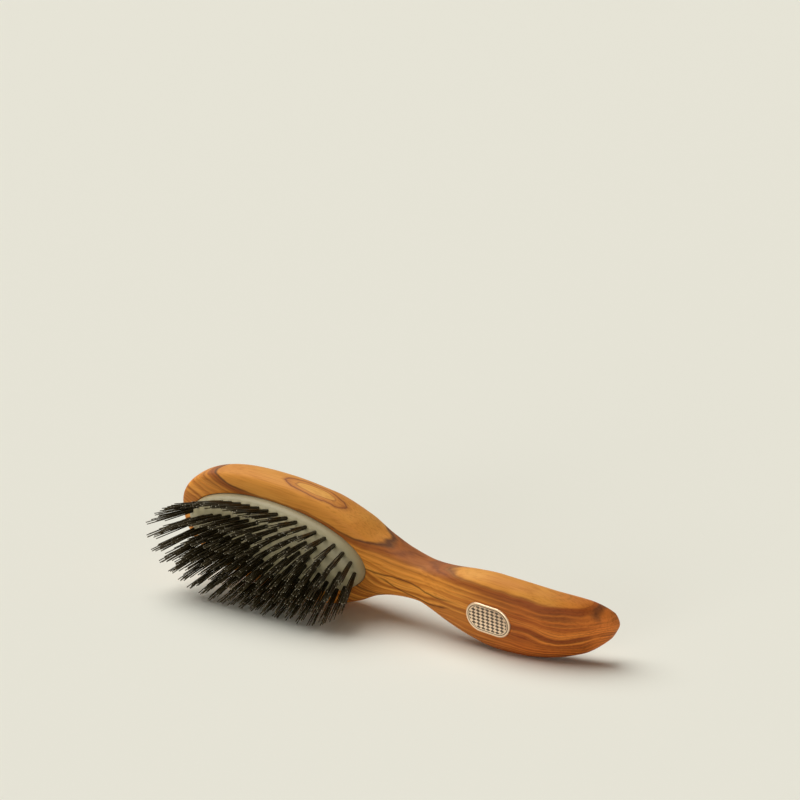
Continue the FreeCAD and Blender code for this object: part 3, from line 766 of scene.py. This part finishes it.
def cut_end_highlight():
    """The cut ends of the bristles, painted pale: a painted highlight for light caught on their cut faces."""
    material, tree, shader = new_finish("bristle_cut_end_highlight")
    tone = stretched(tree, brush_place(tree), END_GRAIN, detail=1.0)
    feed(shader, {"Base Color": ramp(tree, tone, CUT_END_HIGHLIGHT_TONES), "Roughness": 0.4})
    return material


bristle_finishes = dark_bristle(), cut_end_highlight()
tufts = {ring: tuft_lines(f"bristle_tufts_ring_{ring}") for ring in RINGS}
for ring in RINGS:
    mesh = bmesh.new()
    for root, tip in tufts[ring]:
        add_tuft(mesh, root, tip)
    bristles = add_object(f"bristles_ring_{ring}", bpy.data.meshes.new(f"bristles_ring_{ring}"))
    mesh.to_mesh(bristles.data)
    mesh.free()
    for finish in bristle_finishes:
        bristles.data.materials.append(finish)
    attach(bristles, f"tuft_ring_{ring}")
    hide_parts(f"bristle_tufts_ring_{ring}")

# Rubber cushion
# A moulded membrane of pale natural rubber, domed by the air behind it. Its flange sits in
# a groove under the lip of the wood, and each tuft draws it in a little where it enters.
# Inset from the opening's edge and height, from inside the lip to the crown
CUSHION_PROFILE = (
    (0.15, -4.0), (0.15, -1.5), (0.15, 0.0), (0.3, 1.2), (0.75, 2.4), (1.45, 3.4), (2.2, 4.15),
    (4.7, 5.55), (7.7, 6.75), (10.4, 7.65), (13.2, 8.4), (15.6, 8.95), (17.7, CROWN_HEIGHT),
)
CURVE_STEPS, CUSHION_POINTS = 5, 240
# The crown closes in rings of these shares of the last one's width
CROWN_SHARES = (0.5, 0.05)
DIMPLE_DEPTH, DIMPLE_RADIUS, DIMPLES_ABOVE = 0.4, 1.5, 1.0
RUBBER_TONES = ((0.3, (0.355, 0.307, 0.175)), (0.7, (0.415, 0.365, 0.22)))
CLOUD_GRAIN, CLOUD_DETAIL = (60, 90, 90), 3.0
SPECK_GRAIN, SPECK_DETAIL = (2600, 2600, 2600), 2.0
SPECK_BUMP, SPECK_DEPTH, RUBBER_ROUGHNESS = 0.12, 0.1, (0.42, 0.55)
# Light that goes into the rubber, and how far its red, green and blue go, in metres
RUBBER_DEPTH_SHARE, RUBBER_LIGHT_DEPTH = 0.1, (0.002, 0.0016, 0.001)


def curve_through(points, steps):
    """Points on a smooth curve through the given ones."""
    made = []
    for k in range(len(points) - 1):
        p0, p1, p2, p3 = (Vector(points[min(max(k + d, 0), len(points) - 1)]) for d in (-1, 0, 1, 2))
        for s in range(steps):
            t = s / steps
            made.append(0.5 * (2 * p1 + (p2 - p0) * t + (2 * p0 - 5 * p1 + 4 * p2 - p3) * t * t
                               + (3 * p1 - p0 - 3 * p2 + p3) * t ** 3))
    made.append(Vector(points[-1]))
    return made


profile = curve_through(CUSHION_PROFILE, CURVE_STEPS)
cushion_rings = [opening_ring(-inset, z, CUSHION_POINTS) for inset, z in profile]
crown_inset, crown_z = profile[-1]
for share in CROWN_SHARES:
    cushion_rings.append(opening_ring(-crown_inset, crown_z, CUSHION_POINTS, share))
entries = [TO_BRUSH @ entry(root, tip) for ring in RINGS for root, tip in tufts[ring]]
for point in [point for ring in cushion_rings for point in ring if point.z > DIMPLES_ABOVE * MM]:
    near = min((point - spot).length_squared for spot in entries)
    point.z -= DIMPLE_DEPTH * MM * math.exp(-near / (DIMPLE_RADIUS * MM) ** 2)
cushion = skin("cushion", cushion_rings)


def pale_rubber():
    """Natural rubber, slightly cloudy, with a fine matt skin that lets a little light in."""
    material, tree, shader = new_finish("pale_rubber")
    place = brush_place(tree)
    clouds = stretched(tree, place, CLOUD_GRAIN, CLOUD_DETAIL)
    specks = stretched(tree, place, SPECK_GRAIN, SPECK_DETAIL)
    feed(shader, {
        "Base Color": ramp(tree, clouds, RUBBER_TONES),
        "Roughness": span(tree, specks, GRAIN_RANGE, RUBBER_ROUGHNESS),
        "Normal": bumps(tree, specks, SPECK_BUMP, SPECK_DEPTH),
        "Subsurface Weight": RUBBER_DEPTH_SHARE,
        "Subsurface Radius": RUBBER_LIGHT_DEPTH,
    })
    return material


cushion.data.materials.append(pale_rubber())
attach(cushion, "brush_body")
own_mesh(cushion)
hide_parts("rubber_cushion")

# Anchor bars
# Small bars behind the rubber, one to each tuft, which keep it from being pulled out. They
# lie inside the chamber and stay as the CAD makes them.
BAR_TONES, BAR_GRAIN = ((0.3, (0.4, 0.37, 0.31)), (0.7, (0.5, 0.47, 0.4))), (700, 700, 700)


def plain_bar():
    """Plain moulded bars."""
    material, tree, shader = new_finish("anchor_bar")
    tone = stretched(tree, brush_place(tree), BAR_GRAIN, detail=2.0)
    feed(shader, {"Base Color": ramp(tree, tone, BAR_TONES), "Roughness": 0.5})
    return material


bar_finish = plain_bar()
for ring in RINGS:
    bars = frame["nodes"][f"anchor_pins_ring_{ring}"]
    bars.data.materials.clear()
    bars.data.materials.append(bar_finish)

# Table, light and camera
# The brush lies on a plain pale table. A broad soft light comes from above on the left, a
# weaker one from low in front, and a dim warm sky fills the shadows.
TABLE_SIZE, TABLE_COLOUR = 40, (0.855, 0.86, 0.795)
SKY_COLOUR, SKY_STRENGTH = (1.0, 0.82, 0.58), 0.08
BACKDROP_COLOUR = (0.78, 0.765, 0.665)
LIGHT_COLOUR = (1.0, 0.985, 0.945)
# Name, the way the light goes, strength, how broad it looks in degrees
LIGHTS = (
    ("key_light", (0.55, 0.0, -1.0), 2.86, 62),
    ("front_light", (-0.12, 0.9, -0.06), 1.34, 30),
)
# The camera's place in mm and its directions, in the brush's axes
CAMERA_AT = Vector((522.5, 454.0, 587.1))
CAMERA_AHEAD = Vector((-0.54614, -0.44646, -0.70881))
CAMERA_UP = Vector((-0.22391, 0.89315, -0.39006))
CAMERA_LENS, CAMERA_SENSOR, CAMERA_SIGHT = 96.75, 36, 100

bpy.ops.mesh.primitive_plane_add(size=TABLE_SIZE)
table = bpy.context.object
table.name = "table"
table_finish, _, shader = new_finish("pale_table")
feed(shader, {"Base Color": TABLE_COLOUR, "Roughness": 0.9, "Specular IOR Level": 0.05})
table.data.materials.append(table_finish)

world = bpy.data.worlds.new("studio")
bpy.context.scene.world = world
world.use_nodes = True
tree = world.node_tree
sky = tree.nodes["Background"]
feed(sky, {"Color": SKY_COLOUR, "Strength": SKY_STRENGTH})
backdrop = put(tree, "Background", {"Color": BACKDROP_COLOUR, "Strength": 1.0})
rays = put(tree, "LightPath").outputs
seen = calc(tree, "MAXIMUM", rays["Is Camera Ray"], rays["Is Glossy Ray"])
seen = calc(tree, "MAXIMUM", seen, rays["Is Transmission Ray"])
either = put(tree, "MixShader", {0: seen, 1: sky.outputs[0], 2: backdrop.outputs[0]})
feed(tree.nodes["World Output"], {"Surface": either.outputs[0]})

for name, way, strength, breadth in LIGHTS:
    light = add_object(name, bpy.data.lights.new(name, "SUN"))
    light.data.energy = strength
    light.data.angle = math.radians(breadth)
    light.data.color = LIGHT_COLOUR
    light.rotation_euler = Vector(way).to_track_quat("-Z", "Y").to_euler()

camera = add_object("camera", bpy.data.cameras.new("camera"))
camera.data.lens = CAMERA_LENS
camera.data.sensor_width = CAMERA_SENSOR
camera.data.clip_end = CAMERA_SIGHT
turn = Matrix((CAMERA_AHEAD.cross(CAMERA_UP), CAMERA_UP, -CAMERA_AHEAD)).transposed().to_4x4()
camera.matrix_world = BRUSH @ Matrix.Translation(CAMERA_AT * MM) @ turn
bpy.context.scene.camera = camera
bpy.context.scene.view_settings.view_transform = "Standard"
